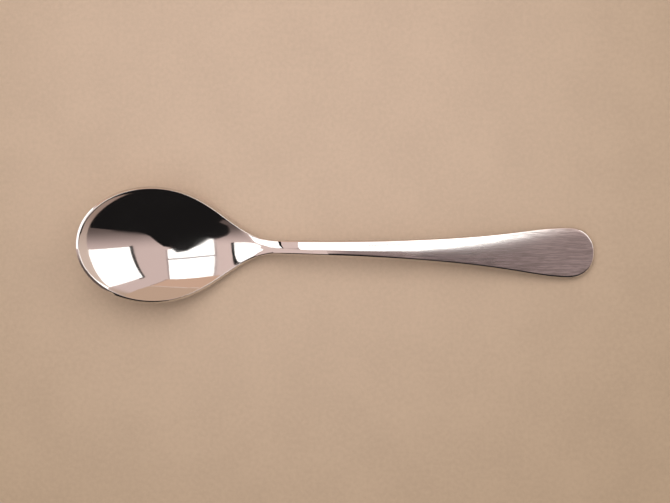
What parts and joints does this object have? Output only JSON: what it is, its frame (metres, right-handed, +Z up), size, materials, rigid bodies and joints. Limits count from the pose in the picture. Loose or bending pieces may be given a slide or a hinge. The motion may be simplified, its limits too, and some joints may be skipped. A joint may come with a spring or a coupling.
{
  "type": "coffee spoon",
  "caption": "Stainless steel coffee spoon with a deep oval polished bowl, a slim neck and a slightly arched brushed handle that widens to a round end.",
  "frame": {"origin": "on the table that the spoon lies on, under the middle of its length and on its plane of symmetry", "axes": "+X along the spoon from the bowl's tip to the handle's end, +Y across the bowl, +Z up out of the bowl"},
  "size_m": [0.1349, 0.0308, 0.0138],
  "materials": {
    "stainless_steel": "mirror-polished bowl and neck, long-grain brushed handle"
  },
  "bodies": {
    "root": {"coffee_spoon": "stainless_steel"}
  },
  "joints": []
}
